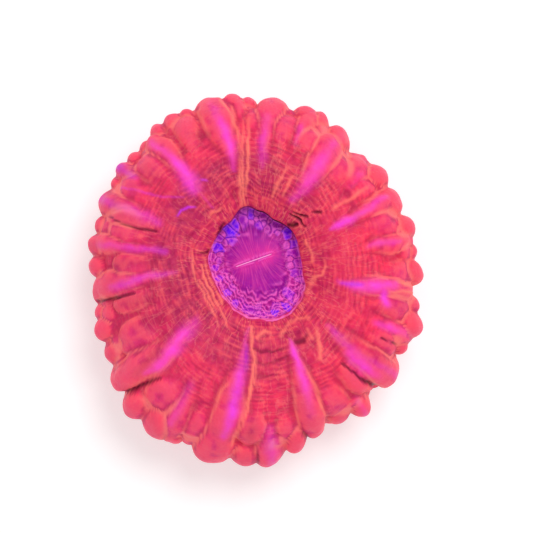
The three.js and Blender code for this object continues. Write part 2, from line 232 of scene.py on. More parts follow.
polyp = {
    "columns": 498,
    "rowsInSpans": [(1, 8), (3, 34), (6, 20), (11, 60), (15, 46), (18, 26), (22, 4)],  # up to a spot: rows
    "discCentre": (0.0, 2.6),
    "mouthHeight": 25.2,
    "gutterHeight": 23.2,
    "lipHeight": 31.2,
    "crownHeight": 34.0,
    "rimHeight": 19.5,
    "hemHeight": 4.6,
    "seatHeight": 8.6,
    "seatRadius": 23.5,
    "lipFacing": 85,  # the lip overhangs the disc on this side and slopes to it on the other
    "slopingRise": 1.4,
    "discOutline": [
        (11, 11.8), (45, 12.8), (68, 12.6), (85, 14.0), (101, 15.5), (124, 13.1), (150, 12.8),
        (173, 12.9), (194, 11.9), (211, 11.6), (229, 12.2), (247, 13.2), (265, 14.2), (290, 15.2),
        (303, 15.3), (318, 14.7), (331, 14.0), (349, 12.2),
    ],
    "rimOutline": [
        (0, 40.4), (30, 38.9), (50, 37.6), (70, 41.0), (90, 42.0), (115, 43.2), (145, 42.4),
        (170, 42.2), (190, 41.6), (210, 43.8), (228, 49.0), (245, 50.4), (270, 50.8), (288, 46.0),
        (305, 46.2), (325, 44.0), (343, 42.6),
    ],
    "ringSpacing": 1.35,  # the fine rings round the crown
    "pleats": 108,  # the radial pleats that leave the lip
    "ringHeight": 0.08,
    "pleatHeight": 0.2,
    "foldHeight": 0.35,
    "cutDepth": 0.8,
    "lobeShare": 0.62,  # how much of its height a lobe keeps on top of the crown
    "streakShare": 0.78,  # how much of its width a streak keeps
    "seed": 41,
    "swellRoundness": 0.55,  # 1 makes a swelling's section a parabola, 0.5 half an ellipse
    "edgeNearness": 0.14,  # where a swelling's painted edge highlight lies, from 0 at its foot to 1 at its middle
    "lobeTaper": 0.35,  # a lobe's width at its inner end, as a share of the tip's
    "tongueTaper": 0.75,
    "tongueEdge": 0.6,  # how bright a tongue's painted edge highlight is beside a lobe's
    "lobeBend": (1.5, 0.5),  # degrees, in long and in short waves
    "tierWander": 1.6,  # how far a seeded bulb strays from its tier
    "rimBulbLevel": (-3.2, -0.8),  # seeded between these, where less than 0 is above the rim
    "creaseDepth": 0.25,
    "strokeWobble": 0.35,
    "discRingDepth": 5.6,  # how far the pads reach in from the disc's edge
    "padRings": [(0.9, 46), (2.7, 30)],  # seeded pads: mm inside the disc's edge, how many are tried
    "padSpacing": 1.5,  # the least between two pads' middles
    "padHeight": 0.3,
    "ruffleSpacing": 1.35,
    "ruffleHeight": 0.15,
    "ruffledSide": (190, 334),  # the angles between which the disc is ruffled
    # The mouth's slit, with its middle counted from the disc's
    "mouth": {"centre": (-0.8, 0.8), "turn": 19.5, "halfLength": 5.2, "depth": 0.4, "lipHeight": 0.2},
    # Long lobes: inner end and tip as (angle, radius), half width and height at the tip
    "lobes": [
        ((8, 24), (8, 41), 2.6, 2.4), ((24.5, 20), (25.5, 42), 3.4, 3.2), ((42, 26), (44, 41), 4.6, 3),
        ((58, 18), (57, 38), 4, 3.4), ((71, 28), (70, 44), 3.4, 3), ((86.5, 24), (84.5, 45), 3.6, 3.4),
        ((96, 36), (98.5, 46), 2.9, 3), ((102.5, 24), (107.5, 45.5), 4.6, 3.6),
        ((128.5, 25), (131, 43), 3.3, 3.2), ((145, 39), (145, 46), 2.5, 2.6),
        ((157.5, 26), (157, 45.4), 4, 3.4), ((173, 26), (173.5, 45.6), 3.2, 2.8),
        ((188, 21), (189.5, 44.5), 3.7, 3.2), ((203.5, 38), (203.5, 47), 3, 2.6),
        ((211.5, 38), (211.5, 47.3), 3, 2.6), ((225, 21), (220.5, 48.1), 4.6, 4.2),
        ((242.5, 33), (242, 52), 4.4, 3), ((262.5, 20), (256.5, 52.5), 4.6, 4.2),
        ((274.5, 42), (274.5, 54.2), 4, 3.4), ((293, 20), (289, 47.2), 3.6, 3.6),
        ((306, 42), (306, 50.2), 3.4, 2.6), ((318, 22), (320.5, 48), 4.4, 4.2),
        ((334, 32), (336, 45.5), 3.8, 3), ((346.5, 20), (350, 41), 2.8, 2.6),
    ],
    # Low tongues between the lobes: (angle, radius reached, half width, length, height)
    "tongues": [
        (17, 38.5, 4.8, 11, 1.3), (35, 37.5, 3, 9, 1), (49, 36, 4.2, 10, 1.2), (62, 41.5, 3.6, 9, 1.8),
        (66, 37.5, 3.4, 9, 1.3), (78, 39, 3.4, 10, 1.4), (91, 41, 2.4, 9, 1), (118, 43, 3.4, 12, 1.9),
        (139, 41, 3.8, 10, 1.5), (149, 42, 3.8, 10, 1.5), (160.5, 40.5, 3.4, 14, 1.8),
        (167, 38.5, 3.2, 10, 1.2), (182, 36, 3, 10, 1.2), (197, 37.5, 3.2, 11, 1.2), (212, 40, 4.6, 11, 1.4),
        (235, 45, 4.8, 10, 1.6), (250, 48.5, 3.4, 10, 1.6), (268, 46.5, 3.6, 10, 1.5),
        (282, 48, 3.6, 10, 1.6), (299, 44.5, 3.8, 10, 1.4), (310, 43, 3.2, 10, 1.3), (328, 43, 3.4, 10, 1.4),
        (343, 41.5, 4.4, 10, 1.7), (356, 41.5, 3.8, 11, 1.5),
    ],
    # Bulbs of the scalloped rim: (angle, radius reached, half width in degrees)
    "rimBulbs": [
        (4.5, 43.5, 3.5), (14, 43.4, 5), (25, 42.5, 6), (36.5, 42.9, 6), (45, 41.2, 3), (56.5, 43.2, 5.5),
        (66, 44, 4), (72, 44.5, 4.5), (83.5, 45.2, 5.2), (93, 45.1, 3.2), (98.5, 46.4, 4), (108, 45.4, 5),
        (115.5, 46.1, 3), (120.5, 46.6, 4), (127, 46.5, 3.3), (133.5, 45.4, 3), (139.5, 45.3, 3.3),
        (145, 46.5, 3.3), (150, 45.4, 3), (157, 45.2, 4), (166, 44.8, 3.5), (173.5, 45.7, 4),
        (181, 45.5, 4.2), (189.5, 44, 4), (197, 45, 3.5), (203.5, 47.3, 4.4), (211.5, 47.4, 4.3),
        (219, 47.2, 4), (229.5, 53.3, 4.6), (238, 54.3, 5.3), (244, 52.8, 3.2), (256, 51.4, 5),
        (266.5, 54.3, 4.6), (274, 54.4, 5), (282.5, 52, 3.8), (289.5, 46.6, 4), (298.5, 48.5, 4),
        (306, 50.2, 3.7), (320, 48, 4), (330, 46.4, 3), (338.5, 47.7, 4.6), (345, 45.2, 3.5),
        (357, 44.9, 4.8),
    ],
    # Tiers of seeded bulbs: how many, mm past the rim, half width, height, brightness of their painted edge
    # highlights
    "bulbTiers": [
        (44, -6, 2.9, 1.5, 0.5), (44, 6.5, 3.4, 2.1, 0.5), (40, 12, 3.2, 2.3, 0.4), (34, 17.5, 3, 1.9, 0.3),
    ],
    # Streaks down the lobes: how violet, then (angle, radius, half width, strength) along each
    "streaks": [
        (0.4, [(8.5, 37, 0.8, 0.3), (9, 32.2, 1.1, 0.5), (8, 29.5, 0.8, 0.3)]),
        (0.45, [(27, 36.4, 1, 0.4), (26, 32.2, 1.1, 0.5), (25, 28, 1, 0.5)]),
        (0.25, [(24.5, 28.5, 0.9, 0.7), (24.3, 26, 1.5, 1), (24.3, 23.5, 1.3, 1), (24.3, 21, 0.5, 0.5)]),
        (0.1, [(40, 34.8, 1.3, 0.25), (39, 31.6, 1.2, 0.15)]),
        (0.15, [(57, 35.4, 1.6, 0.4), (57.5, 30, 2.4, 0.6), (57, 26.3, 2.6, 0.75), (57.5, 22.8, 1.9, 0.7),
                (60, 19, 1.5, 0.4)]),
        (0.2, [(72, 37, 0.9, 0.35), (71.5, 32.7, 0.9, 0.25)]),
        (0.4, [(86, 37, 1.4, 0.3), (87, 32.2, 1.5, 0.6), (86.5, 27.9, 1.5, 0.5), (86.5, 25.2, 1.1, 0.25)]),
        (0.12, [(106, 41, 1.2, 0.25), (104, 36.2, 1.7, 0.7), (102.5, 31.6, 1.8, 0.95),
                (103, 27.6, 1.3, 0.65), (103.5, 24.9, 0.9, 0.35)]),
        (0.15, [(131, 40.2, 1, 0.5), (129, 35.4, 1.3, 0.85), (129, 30.8, 2.2, 1), (129.5, 27.3, 2.6, 1),
                (130.5, 25.2, 2.1, 0.85)]),
        (0.1, [(129, 23, 0.5, 0.3), (129, 18.5, 0.5, 0.3)]),
        (0.9, [(145, 44.2, 1.2, 0.5), (145, 41.5, 1.5, 0.7), (145, 38.3, 1, 0.25)]),
        (0.5, [(156.5, 45, 1.6, 0.45), (157, 42.3, 1.3, 0.6), (158, 39.1, 1.6, 0.25), (157, 36.2, 1.6, 0.4),
               (157.5, 30.8, 1.9, 0.45), (158, 27.3, 1.4, 0.3)]),
        (0.5, [(173.5, 40.2, 1.2, 0.25), (173.5, 35.4, 1.3, 0.45), (173.5, 30.8, 1.1, 0.45),
               (173, 27.3, 1.1, 0.45), (173.3, 24, 1.2, 0.4)]),
        (0.5, [(190, 37.5, 1.4, 0.35), (189, 32.7, 1.5, 0.6), (187.5, 28.1, 1.3, 0.55),
               (187.5, 23.6, 1, 0.35), (187.5, 21.2, 0.7, 0.15)]),
        (0.1, [(225, 40.2, 0.9, 0.5), (226.5, 37.5, 1.5, 0.9), (226.5, 33.5, 1.8, 1), (226, 29.5, 2.6, 1),
               (225, 26, 2.4, 0.8), (224.5, 22.5, 1.8, 0.35)]),
        (0.1, [(242, 46.1, 1.2, 0.4), (242, 41.5, 1.6, 0.45), (242, 36.2, 1.4, 0.3)]),
        (0.35, [(259.5, 44.5, 1.2, 0.65), (261, 39.7, 1.8, 0.95), (261, 34.8, 1.9, 1), (262, 30, 2, 0.9),
                (262, 26, 1.5, 0.6)]),
        (0.9, [(263.5, 27.5, 1.2, 0.6), (264, 24.5, 1, 0.6), (263, 21.5, 0.8, 0.3)]),
        (0.2, [(261.5, 25, 1, 0.5), (262, 20.1, 0.9, 0.35), (263, 17.5, 0.7, 0.2)]),
        (0.6, [(274.5, 51, 1.4, 0.2), (274.5, 47.7, 2.2, 0.45), (274.5, 43.7, 1.8, 0.25)]),
        (0.2, [(290, 40.2, 1.6, 0.2), (291, 36.2, 1.6, 0.45), (292, 31.6, 1.4, 0.95),
               (292.5, 27.6, 1.1, 0.95), (293, 24.7, 1.2, 1), (293, 22, 0.5, 0.4)]),
        (0.6, [(306, 46.5, 1.3, 0.2), (306, 44.5, 1.3, 0.2)]),
        (0.1, [(316.5, 41, 1.9, 0.4), (315.8, 38.5, 2.2, 0.95), (315.5, 36, 2.1, 1), (316.5, 33, 1.6, 0.5)]),
        (0.5, [(321.5, 45, 1.2, 0.4), (318.5, 36, 0.9, 0.2), (317, 31, 1.6, 0.4), (317.5, 28, 1.3, 0.4),
               (318.5, 25, 0.9, 0.2)]),
        (0, [(334.5, 41.5, 1.3, 0.3), (334, 38, 1.5, 0.8), (333, 34.8, 1.2, 0.4)]),
        (0.25, [(342.5, 35, 1.2, 1), (346, 33.9, 1.2, 1), (349, 33.5, 1.1, 0.7)]),
        (0.2, [(350.5, 35.6, 1.2, 0.8), (349, 32.7, 2, 1), (348, 30, 2, 1), (346.5, 26.5, 1.6, 0.8),
               (346.5, 22, 0.8, 0.3)]),
        (1, [(348, 27.8, 0.8, 0.6), (347, 25.5, 1.1, 0.8), (346.3, 22.8, 0.8, 0.6)]),
        (0.8, [(137.5, 21.6, 0.3, 0.7), (141, 23, 0.38, 1), (146, 24, 0.38, 1), (150, 24.2, 0.3, 0.6)]),
        (0.7, [(121.8, 25.1, 0.4, 0.6), (124.3, 26, 0.4, 0.7)]),
        (0.45, [(151, 40, 0.4, 0.4), (147, 32.7, 0.4, 0.35), (142, 27.6, 0.4, 0.35), (138, 25.5, 0.4, 0.2)]),
    ],
    # Raised bright folds: (angle, radius, half width, strength) along each
    "folds": [
        [(93, 37.5, 0.4, 0.6), (94, 32, 0.4, 1), (94.5, 26.8, 0.4, 1), (96.5, 22, 0.4, 0.8),
         (99, 18.2, 0.4, 0.5)],
        [(95.5, 38, 0.4, 0.5), (96.5, 32, 0.4, 0.7), (98, 26.8, 0.4, 0.8), (99, 22.8, 0.4, 0.8),
         (101.5, 17.7, 0.4, 0.9), (102, 15.6, 0.5, 0.7)],
        [(103, 42.5, 0.4, 0.7), (100, 38.9, 0.45, 0.9), (98.5, 34.8, 0.45, 0.9), (98.2, 30.8, 0.4, 0.6),
         (99.5, 26, 0.4, 0.6), (104, 17.7, 0.4, 0.9), (105.5, 15.6, 0.5, 0.8)],
        [(72, 26, 0.4, 0.35), (75, 21.4, 0.4, 0.6), (77, 17.7, 0.4, 0.5)],
        [(67, 24, 0.4, 0.4), (69, 19, 0.4, 0.5)],
        [(34, 34.8, 0.4, 0.5), (34, 30, 0.4, 0.6), (35, 24.7, 0.5, 0.5)],
        [(262.5, 47.5, 0.4, 0.5), (265, 42.3, 0.4, 0.8), (267, 36.2, 0.4, 1), (268, 30.8, 0.4, 1),
         (268.5, 25.5, 0.4, 0.9), (267, 22, 0.4, 0.8), (265, 17.2, 0.4, 0.7)],
        [(269.3, 32, 0.35, 0.6), (269.7, 26.8, 0.35, 0.6), (269, 22.8, 0.35, 0.5)],
        [(254, 37, 0.4, 0.8), (254.5, 34.3, 0.4, 0.9), (256.5, 32.4, 0.4, 0.6)],
        [(294, 40.5, 0.4, 0.7), (295.5, 37.5, 0.4, 0.8), (295, 32, 0.4, 0.5), (294, 27, 0.4, 0.4)],
        [(303, 30, 0.5, 0.7), (306, 27.9, 0.5, 0.9), (308.5, 26, 0.5, 0.8), (312, 23.6, 0.5, 0.5)],
        [(306.5, 25, 0.45, 0.7), (307, 21.8, 0.45, 0.7)],
        [(348.3, 42, 0.45, 0.8), (349.2, 39, 0.45, 0.9), (347.5, 35, 0.4, 0.6)],
        [(351.2, 42, 0.45, 0.8), (351.7, 39, 0.45, 0.9), (353, 36, 0.4, 0.8), (353.5, 32, 0.35, 0.6),
         (353, 29, 0.35, 0.3)],
        [(341, 14.8, 0.5, 0.7), (346, 15.5, 0.45, 0.8), (350, 17.6, 0.35, 0.9), (356, 17.8, 0.35, 0.8),
         (1, 17.7, 0.35, 0.5)],
        [(330, 15.5, 0.6, 0.6), (338, 15, 0.6, 0.8), (346, 16, 0.5, 0.6)],
        [(2, 14.6, 0.5, 0.7), (9, 14.8, 0.5, 0.9), (16, 14.4, 0.5, 0.8), (24, 14.2, 0.4, 0.5)],
        [(170, 17.5, 0.3, 0.4), (185, 16.6, 0.3, 0.6), (200, 16.4, 0.3, 0.7), (215, 16.2, 0.3, 0.7),
         (228, 17.2, 0.3, 0.6), (240, 19.3, 0.3, 0.4)],
        [(182, 14.6, 0.3, 0.5), (196, 14.2, 0.35, 0.9), (208, 14, 0.35, 0.9), (222, 14.8, 0.3, 0.6),
         (236, 16, 0.3, 0.6), (246, 18.2, 0.3, 0.4)],
        [(172, 14.3, 0.3, 0.5), (186, 13.4, 0.3, 0.6), (200, 13, 0.3, 0.7), (216, 13.2, 0.3, 0.7),
         (232, 14.2, 0.3, 0.6)],
        [(198, 15.4, 0.35, 0.6), (212, 15.2, 0.35, 0.6), (226, 16, 0.35, 0.5)],
        [(270, 19.6, 0.6, 0.6), (276, 18.4, 0.6, 0.7), (281, 18.8, 0.5, 0.4)],
        [(288, 20.5, 0.5, 0.5), (296, 18.2, 0.5, 0.5), (306, 18, 0.5, 0.5), (313, 20, 0.5, 0.4)],
        [(125, 17, 0.4, 0.6), (131, 17.4, 0.4, 0.7), (137, 17.2, 0.4, 0.4)],
    ],
    # Cuts in the skin, drawn in the same way: each is a groove painted near black as the shade in it
    "cuts": [
        [(37.5, 21.3, 0.35, 0.7), (39.5, 20.6, 0.35, 1), (42, 19.6, 0.3, 0.5)],
        [(41.5, 17.8, 0.3, 0.6), (46, 17, 0.35, 1), (50, 16.6, 0.3, 0.8), (54, 16.4, 0.3, 0.4)],
        [(36.5, 15.9, 0.3, 0.6), (43, 15.9, 0.35, 1), (49, 15.5, 0.35, 1), (55, 15.3, 0.3, 0.5)],
        [(43.5, 14.6, 0.4, 1), (46.5, 13.9, 0.6, 1), (50, 13.3, 0.5, 1)],
        [(163, 27.3, 0.3, 0.6), (163.8, 31.6, 0.35, 0.8), (163.8, 36.2, 0.3, 0.6), (162.5, 39.5, 0.3, 0.4)],
        [(194.3, 32.7, 0.3, 0.6), (194.2, 37.5, 0.45, 1), (193.4, 41.8, 0.4, 0.8)],
        [(224, 47.5, 0.4, 0.9), (226.3, 45, 0.5, 1), (228.3, 42, 0.4, 0.9), (230.5, 39, 0.3, 0.7)],
        [(310.4, 34.5, 0.35, 0.7), (311.6, 39, 0.35, 0.8), (313, 43, 0.5, 1), (315, 46, 0.5, 0.9)],
        [(328.7, 37.5, 0.3, 0.7), (329.4, 41.5, 0.3, 0.7)],
        [(269.5, 30, 0.35, 0.1), (275, 29.7, 0.35, 0.2), (281, 30, 0.35, 0.15)],
        [(269.5, 26.2, 0.35, 0.15), (275, 26.8, 0.35, 0.22), (282, 26.3, 0.35, 0.4),
         (288, 25.8, 0.35, 0.25)],
        [(268.5, 22.4, 0.35, 0.2), (274, 23.5, 0.35, 0.32), (282, 23.6, 0.35, 0.45), (290, 24, 0.35, 0.25)],
        [(296, 23.4, 0.6, 0.5), (301, 23.6, 0.8, 0.5), (304.5, 22.8, 0.5, 0.3)],
        [(270, 52, 0.4, 0.8), (270.4, 49.5, 0.35, 0.5)],
        [(285.4, 44.5, 0.4, 0.6), (287, 46.3, 0.4, 0.7)],
        [(169.5, 15, 0.3, 0.4), (167.5, 13.6, 0.45, 0.9), (164.5, 13.2, 0.4, 0.8)],
        [(130, 13.5, 0.35, 0.7), (137, 13.2, 0.45, 1), (144, 13.1, 0.35, 0.6)],
        [(118, 37.5, 0.9, 0.1), (113, 36.5, 1.2, 0.18), (109.5, 36, 0.8, 0.1)],
    ],
    # Dusky wine patches on the crown, drawn in the same way
    "dusky": [
        [(220.5, 28, 1.3, 0.4), (222, 34, 1.5, 0.9), (222.6, 38, 1.4, 0.8), (223, 41.5, 1, 0.3)],
        [(210.5, 26, 2.2, 0.5), (209, 32.5, 2.6, 0.7)],
        [(197.5, 25, 2, 0.5), (198, 33, 2.2, 0.7), (197.5, 37, 1.8, 0.5)],
        [(180, 26, 1.4, 0.3), (180.5, 34, 1.8, 0.6), (180.5, 38, 1.4, 0.3)],
        [(160, 33, 1.6, 0.3), (157.5, 38.5, 2.2, 0.6), (157, 43, 1.6, 0.4)],
        [(145, 45, 1.3, 0.6), (145, 41, 1.4, 0.7)],
        [(142, 30, 1.6, 0.3), (140, 36, 1.8, 0.4)],
        [(46, 22, 1.8, 0.4), (52, 21, 2, 0.5)],
        [(294, 20, 1.8, 0.5), (298, 22.5, 2.4, 0.8), (303, 24, 1.6, 0.5)],
        [(268.5, 40, 1.2, 0.3), (268, 44, 1.9, 0.7), (268, 47, 1.3, 0.4)],
        [(79, 24, 1.3, 0.5), (78.5, 27, 1.2, 0.3)],
        [(319, 27, 1.2, 0.3), (319, 31, 1.5, 0.45)],
        [(338, 24, 1.6, 0.4), (340, 20.5, 1.6, 0.5)],
        [(320, 36, 1.4, 0.3), (323, 41, 1.5, 0.4)],
    ],
    # Swollen pads inside the disc's edge: (angle, radius, half width, half length, how blue)
    "discPads": [
        (16, 10.3, 1, 1.5, 0.2), (28, 11.3, 0.8, 1.4, 0.6), (45, 11.4, 1, 0.9, 0.8),
        (64, 11.2, 1.4, 1.6, 0.15), (81, 12.6, 1.2, 1.3, 0.1), (88, 10.1, 1.1, 1, 0.45),
        (96.5, 13.2, 0.7, 1.3, 0.7), (107, 12, 0.9, 1.7, 0.2), (120, 12.2, 0.9, 1.5, 0.85),
        (131, 11.1, 1.1, 1.6, 1), (137, 8.9, 0.9, 1.2, 0.6), (146, 12, 0.7, 0.8, 0.3),
        (158, 11.1, 1.1, 1.2, 0.9), (172, 11.7, 0.8, 0.9, 0.1), (186, 11.1, 0.7, 0.8, 0.5),
        (202, 10.7, 0.7, 0.8, 0.5), (214, 11, 0.7, 0.7, 0.1), (225, 11, 0.7, 0.9, 0.6),
        (242, 12.3, 0.7, 1.1, 0.55), (259, 12.4, 1.4, 1, 0.25), (291, 14, 0.7, 0.7, 0.9),
        (305, 13.9, 0.8, 1.2, 0.8), (315, 12.2, 1.1, 1.7, 0.45), (347, 10.9, 0.9, 1.3, 0.3),
        (0, 10.9, 0.9, 1.3, 0.2), (330, 12.2, 1, 1, 0), (97, 10.8, 0.8, 0.9, 0.1), (72, 9.9, 0.9, 0.9, 0.05),
    ],
}


# Listed spots of the skin's section at each angle, as (radius, height)
def polypSection(angles):
    disc = roundTheCompass(polyp["discOutline"], angles)
    width = roundTheCompass(polyp["rimOutline"], angles) - disc
    lean = smooth(0.75 + np.cos((angles - polyp["lipFacing"]) * degree))
    mouthZ, gutterZ, lip = polyp["mouthHeight"], polyp["gutterHeight"], polyp["lipHeight"]
    crown, rim, hem, seat = polyp["crownHeight"], polyp["rimHeight"], polyp["hemHeight"], polyp["seatHeight"]
    seatRadius, climb = polyp["seatRadius"], crown - lip
    gutter = gutterZ + polyp["slopingRise"] * (1 - lean)
    flat = np.ones_like(angles)
    spots = [
        (0, mouthZ),
        (disc * 0.4, mouthZ),
        (disc * 0.8, mouthZ * 0.4 + gutterZ * 0.6),
        (disc * 0.98, gutter),
        (disc * (1.02 + 0.05 * lean), gutter + 1.6),
        (disc * (1.06 - 0.07 * lean), gutterZ + 4.6),
        (disc + width * 0.04, lip - 1.4),
        (disc + width * 0.11, lip),
        (disc + width * 0.24, lip + climb * 0.72),
        (disc + width * 0.42, crown),
        (disc + width * 0.6, crown - 0.6),
        (disc + width * 0.77, crown - 2.4),
        (disc + width * 0.89, crown - 5.4),
        (disc + width * 0.97, rim + 4.6),
        (disc + width, rim),
        (disc + width * 0.97, hem + 7),
        (disc + width * 0.86, hem + 1.8),
        (disc + width * 0.7, hem + 0.2),
        (disc + width * 0.55, hem + 1.6),
        (seatRadius + 1.5, seat - 0.4),
        (seatRadius, seat),
        (seatRadius * 0.5, seat),
        (0, seat),
    ]
    return np.stack([np.stack([radius * flat, height * flat], axis=-1) for radius, height in spots], axis=1)


# Where named places lie along the section, counted in its spots
spotOfGutter, spotOfLip, spotOfRim, spotOfLastBulb, spotOfSeat = 3, 6, 14, 18.4, 20


# Where the rows lie along the section: close together wherever the photo's view looks
def rowPlaces(coarser):
    places, start = [], 0
    for end, rows in polyp["rowsInSpans"]:
        rows = max(3, rows // coarser)
        places.append(start + (end - start) * np.arange(rows) / rows)
        start = end
    return np.concatenate(places)[1:]


# The smooth skin before anything swells, as a grid of rows along the section and columns round the compass
def layOutSkin():
    coarser = 1
    angles = np.arange(0, 360, 360 / (polyp["columns"] // coarser))
    places = rowPlaces(coarser)
    point, slope = splineAt(polypSection(angles), places)
    slope = slope / np.linalg.norm(slope, axis=-1, keepdims=True)
    step = np.linalg.norm(np.diff(point, axis=0), axis=-1)
    along = np.concatenate([np.zeros((1, len(angles))), np.cumsum(step, axis=0)])
    radius, height = point[..., 0], point[..., 1]
    turn = np.broadcast_to(angles, radius.shape)
    arc = turn * degree
    flatX, flatY = radius * np.cos(arc), radius * np.sin(arc)
    lipRow, rimRow = np.searchsorted(places, [spotOfLip, spotOfRim])
    return SimpleNamespace(
        angles=angles, turn=turn, arc=arc, spot=places[:, None], lipRow=lipRow, rimRow=rimRow,
        radius=radius, height=height, outR=-slope[..., 1], outZ=slope[..., 0],
        along=along - along[lipRow],  # mm from the lip
        flatX=flatX, flatY=flatY, where=np.stack([flatX, flatY, height], axis=-1),
    )


# Lobes, tongues and bulbs swell along the skin's normal, and the highest one wins. Returns the highest
# and the second at each point, and how much of the winner's painted edge highlight and core is there.
def growSwellings(skin, rng):
    widestBulb, widestTongue = 14, 20  # degrees to either side within which each is worked out
    radius, turn, along = skin.radius, skin.turn, skin.along
    rimAlong = along[skin.rimRow]
    highest, second = np.zeros_like(radius), np.zeros_like(radius)
    edgeHighlight, core = np.zeros_like(radius), np.zeros_like(radius)
    atEdge, wander = polyp["edgeNearness"], polyp["tierWander"]

    def addSwelling(columns, rise, nearness, outline, merges=False):
        nearness = np.maximum(0, nearness)
        new, old = rise * nearness ** polyp["swellRoundness"], highest[:, columns]
        wins = new > old
        if not merges:
            second[:, columns] = np.maximum(second[:, columns], np.minimum(old, new))
        highest[:, columns] = np.maximum(old, new)
        edgeHighlight[:, columns] = np.where(wins, outline * bell(nearness - atEdge, atEdge), edgeHighlight[:, columns])
        core[:, columns] = np.where(wins, nearness * smooth(new / 1.5), core[:, columns])

    def addBulb(middle, level, halfAcross, halfAlong, rise, outline, merges=False):
        columns = np.flatnonzero(np.abs(turnBetween(skin.angles, middle)) < widestBulb)
        across = turnBetween(turn[:, columns], middle) * degree * radius[:, columns] / halfAcross
        lengthwise = (along[:, columns] - rimAlong[columns] - level) / halfAlong
        outline = outline * smooth(1 + lengthwise)  # no painted edge highlight on the side towards the disc
        addSwelling(columns, rise, 1 - across**2 - lengthwise**2, outline, merges)

    longBend, shortBend = polyp["lobeBend"]
    wobble = lumps(skin.where, 8.0, 3) * longBend + lumps(skin.where, 3.0, 4) * shortBend
    upper = slice(skin.lipRow, skin.rimRow + 1)

    def addTongue(inner, tip, halfWidth, rise, narrowest, outline):
        (a0, r0), (a1, r1) = inner, tip
        columns = np.flatnonzero(np.abs(turnBetween(skin.angles, (a0 + a1) / 2)) < widestTongue)
        start = np.array([np.interp(r0, radius[upper, c], along[upper, c]) for c in columns])
        end = np.array([np.interp(r1 - halfWidth * 0.5, radius[upper, c], along[upper, c]) for c in columns])
        here = along[:, columns]
        share = (here - start) / np.maximum(1, end - start)
        centre = a0 + (a1 - a0) * np.clip(share, 0, 1)
        width = halfWidth * (narrowest + (1 - narrowest) * smooth(share / 0.7))
        offset = turnBetween(turn[:, columns] + wobble[:, columns], centre) * degree * radius[:, columns]
        past = np.maximum(0, here - end) / (halfWidth * 1.4)
        nearness = np.maximum(0, np.where(share > 0, 1 - (offset / width) ** 2 - past**2, 0))
        nearness = nearness ** (1 + 1.6 * (1 - smooth(share / 0.9)))  # softer sides towards the disc
        rise = rise * smooth(share / 0.75)
        addSwelling(columns, rise, nearness, outline * smooth((share - 0.2) / 0.5))

    for middle, reach, halfWidth, length, rise in polyp["tongues"]:
        inner, tip = (middle, reach - length), (middle, reach)
        addTongue(inner, tip, halfWidth, rise, polyp["tongueTaper"], polyp["tongueEdge"])
    kept = polyp["lobeShare"]
    keptHeight = kept + (1 - kept) * smooth((skin.spot - 11) / 3)  # all of it at the rim
    for inner, tip, halfWidth, rise in polyp["lobes"]:
        addTongue(inner, tip, halfWidth, rise * keptHeight, polyp["lobeTaper"], 1.0)
    tips = [tip for _, tip, *_ in polyp["lobes"]]
    for middle, reach, halfTurn in polyp["rimBulbs"]:
        rise = reach - roundTheCompass(polyp["rimOutline"], middle)
        half = halfTurn * degree * reach
        endsLobe = any(abs(turnBetween(middle, a)) < 2.2 and r > reach - 2 for a, r in tips)
        level = rng.uniform(*polyp["rimBulbLevel"])
        addBulb(middle, level, half, max(half * 1.7, rise * 1.2), rise, 1.0, endsLobe)
    for count, level, half, rise, outline in polyp["bulbTiers"]:
        for i in range(count):
            middle = (i + rng.uniform(0.25, 0.75)) * 360 / count
            size = half * rng.uniform(0.75, 1.25)
            place = level + rng.uniform(-wander, wander)
            addBulb(middle, place, size, size * 1.15, rise * rng.uniform(0.7, 1.2), outline)
    return highest, second, edgeHighlight, core


# The streaks, folds, cuts and dusky patches, which are drawn on the top of the skin
def drawStrokes(skin):
    top = slice(0, skin.rimRow + 1)
    where = skin.where[top]
    topX = skin.flatX[top] + polyp["strokeWobble"] * lumps(where, 1.8, 17)
    topY = skin.flatY[top] + polyp["strokeWobble"] * lumps(where, 1.8, 18)
    drawn = {name: np.zeros_like(skin.radius) for name in ("streak", "violet", "folds", "cuts", "dusky")}
    fade = np.clip(1.0 + 0.3 * lumps(where, 3.5, 35) + 0.2 * lumps(where, 1.3, 36), 0, 1)
    for violet, chain in polyp["streaks"]:
        shows = strokeOver(topX, topY, chain, polyp["streakShare"]) * fade
        drawn["streak"][top] = np.maximum(drawn["streak"][top], shows)
        drawn["violet"][top] = np.maximum(drawn["violet"][top], shows * violet)
    for name in ("folds", "cuts", "dusky"):
        for chain in polyp[name]:
            drawn[name][top] = np.maximum(drawn[name][top], strokeOver(topX, topY, chain))
    return drawn


# The pads packed inside the disc's edge: how far the nearest is at each point, in half widths of a pad,
# how far the next one is, and how blue the nearest one is
def packPads(skin, rng):
    pads = list(polyp["discPads"])
    for inset, count in polyp["padRings"]:
        for i in range(count):
            middle = (i + rng.uniform(0.2, 0.8)) * 360 / count
            reach = roundTheCompass(polyp["discOutline"], middle) - inset
            gaps = [math.hypot(turnBetween(middle, a) * degree * reach, reach - r) for a, r, *_ in pads]
            if min(gaps) > polyp["padSpacing"]:
                halfWidth, halfLength = rng.uniform(0.6, 0.9), rng.uniform(0.6, 1.0)
                pads.append((middle, reach, halfWidth, halfLength, rng.uniform(0, 0.25)))
    farAway = np.full_like(skin.radius, 9.0)
    nearest, following, blue = farAway, farAway, np.zeros_like(skin.radius)
    warp = 0.55 * lumps(skin.where, 1.1, 26) + 0.3 * lumps(skin.where, 2.4, 14)
    for middle, padRadius, halfWidth, halfLength, blueness in pads:
        across = turnBetween(skin.turn, middle) * degree * np.maximum(skin.radius, 3) / halfWidth
        away = np.hypot(across, (skin.radius - padRadius) / halfLength) + warp
        blue = np.where(away < nearest, blueness, blue)
        following = np.minimum(following, np.maximum(nearest, away))
        nearest = np.minimum(nearest, away)
    return nearest, following, blue


